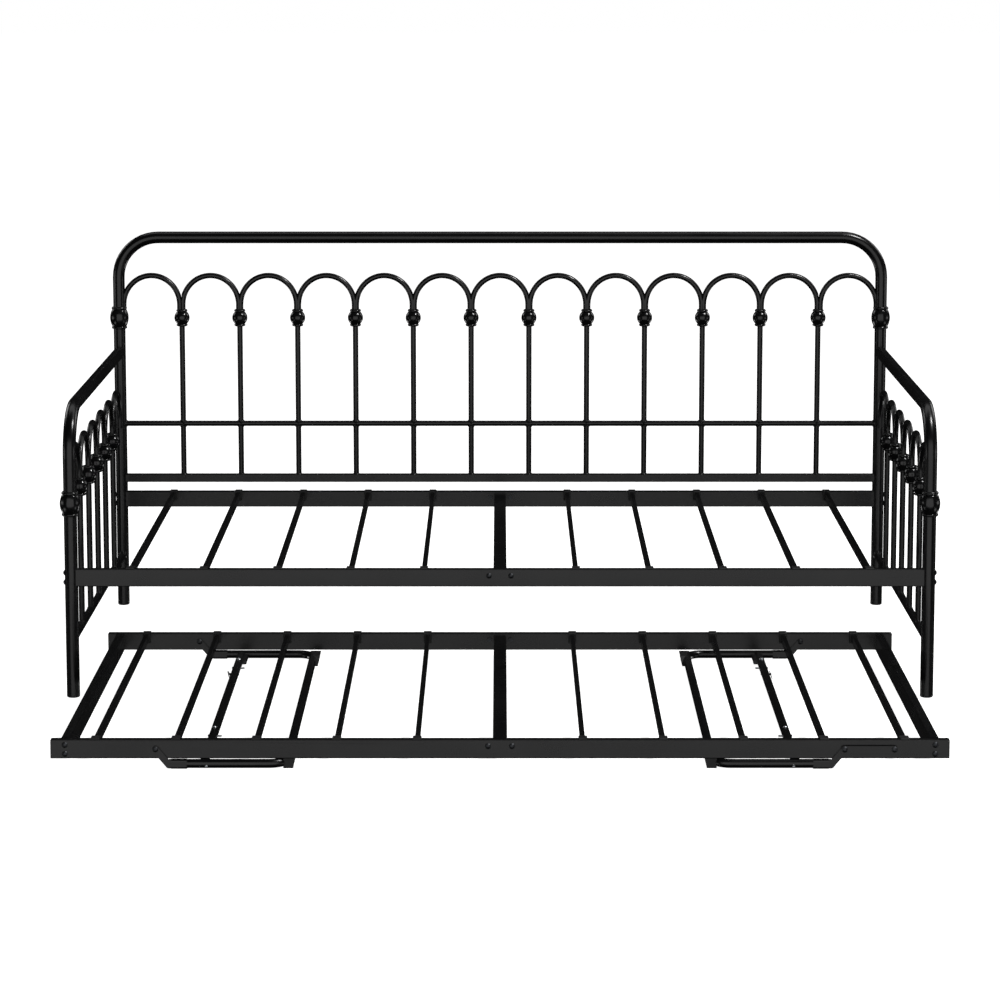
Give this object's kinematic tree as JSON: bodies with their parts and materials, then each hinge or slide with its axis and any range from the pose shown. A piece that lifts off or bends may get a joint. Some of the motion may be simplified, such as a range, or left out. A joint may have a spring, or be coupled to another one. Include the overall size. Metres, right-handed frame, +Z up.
{
  "type": "trundle bed",
  "caption": "Black tubular metal daybed with arched spindle back and arms, and a low slatted trundle frame on folding legs that rolls out from underneath.",
  "frame": {"origin": "on the floor under the middle of the whole bed with the trundle pulled part way out", "axes": "+X to the right of a person facing the open side, +Y towards the back, +Z up"},
  "size_m": [1.9974, 1.6174, 0.9706],
  "materials": {
    "black_powder_coat": "satin black powder coat on steel tube",
    "cast_knuckle": "satin black coat on cast knuckles",
    "black_bolt": "black oxide steel",
    "plain_steel": "zinc plated steel",
    "black_plastic": "moulded matte plastic"
  },
  "bodies": {
    "daybed": {"back_frame_tube": "black_powder_coat", "left_arm_tube": "black_powder_coat", "right_arm_tube": "black_powder_coat", "foot_plugs": "black_plastic", "back_spindles": "black_powder_coat", "back_arches": "black_powder_coat", "back_spindle_knuckles": "cast_knuckle", "back_post_knuckles": "cast_knuckle", "back_middle_bar": "black_powder_coat", "back_bottom_rail": "black_powder_coat", "left_arm_bottom_bar": "black_powder_coat", "left_arm_spindles": "black_powder_coat", "left_arm_arches": "black_powder_coat", "left_arm_knuckles": "cast_knuckle", "right_arm_bottom_bar": "black_powder_coat", "right_arm_spindles": "black_powder_coat", "right_arm_arches": "black_powder_coat", "right_arm_knuckles": "cast_knuckle", "front_post_knuckles": "cast_knuckle", "front_side_rail": "black_powder_coat", "back_side_rail": "black_powder_coat", "side_rail_bolts": "black_bolt", "side_rail_inserts": "plain_steel", "arm_bolts": "black_bolt", "arm_inserts": "plain_steel", "daybed_slats": "black_powder_coat", "daybed_slat_caps": "black_plastic", "daybed_centre_bar": "black_powder_coat", "daybed_centre_plates": "black_powder_coat", "daybed_centre_bolts": "black_bolt"},
    "trundle_frame": {"trundle_front_rail": "black_powder_coat", "trundle_rear_rail": "black_powder_coat", "trundle_left_end_bar": "black_powder_coat", "trundle_right_end_bar": "black_powder_coat", "trundle_rail_end_caps": "black_plastic", "trundle_end_bolts": "black_bolt", "trundle_end_inserts": "plain_steel", "trundle_slats": "black_powder_coat", "trundle_slat_caps": "black_plastic", "trundle_centre_bar": "black_powder_coat", "trundle_centre_plates": "black_powder_coat", "trundle_centre_bolts": "black_bolt", "leg_pivot_bolts": "black_bolt", "stay_plate": "black_powder_coat"},
    "left_leg": {"left_leg_tube": "black_powder_coat", "left_leg_crossbar": "black_powder_coat", "left_leg_screws": "black_bolt", "left_leg_straps": "black_powder_coat", "left_leg_feet": "black_plastic"},
    "right_leg": {"right_leg_tube": "black_powder_coat", "right_leg_crossbar": "black_powder_coat", "right_leg_screws": "black_bolt", "right_leg_straps": "black_powder_coat", "right_leg_feet": "black_plastic"},
    "left_front_pin": {"left_front_lock_pin": "plain_steel"},
    "left_rear_pin": {"left_rear_lock_pin": "plain_steel"},
    "right_front_pin": {"right_front_lock_pin": "plain_steel"},
    "right_rear_pin": {"right_rear_lock_pin": "plain_steel"}
  },
  "joints": [
    {"name": "trundle_slide", "type": "slide", "parent": "daybed", "child": "trundle_frame", "axis": [0, 1, 0], "range_m": [-0.42, 0.6]},
    {"name": "left_leg_fold", "type": "hinge", "parent": "trundle_frame", "child": "left_leg", "pos_m": [-0.721, -0.30875, 0.042], "axis": [0, 1, 0], "range_deg": [0, 77]},
    {"name": "left_front_pin_pull", "type": "slide", "parent": "left_leg", "child": "left_front_pin", "axis": [-1, 0, 0], "range_m": [0, 0.008], "stiffness_N_per_m": 600, "springref_m": -0.003},
    {"name": "left_rear_pin_pull", "type": "slide", "parent": "left_leg", "child": "left_rear_pin", "axis": [-1, 0, 0], "range_m": [0, 0.008], "stiffness_N_per_m": 600, "springref_m": -0.003},
    {"name": "right_leg_fold", "type": "hinge", "parent": "trundle_frame", "child": "right_leg", "pos_m": [0.721, -0.30875, 0.042], "axis": [0, -1, 0], "range_deg": [0, 77]},
    {"name": "right_front_pin_pull", "type": "slide", "parent": "right_leg", "child": "right_front_pin", "axis": [1, 0, 0], "range_m": [0, 0.008], "stiffness_N_per_m": 600, "springref_m": -0.003},
    {"name": "right_rear_pin_pull", "type": "slide", "parent": "right_leg", "child": "right_rear_pin", "axis": [1, 0, 0], "range_m": [0, 0.008], "stiffness_N_per_m": 600, "springref_m": -0.003}
  ]
}
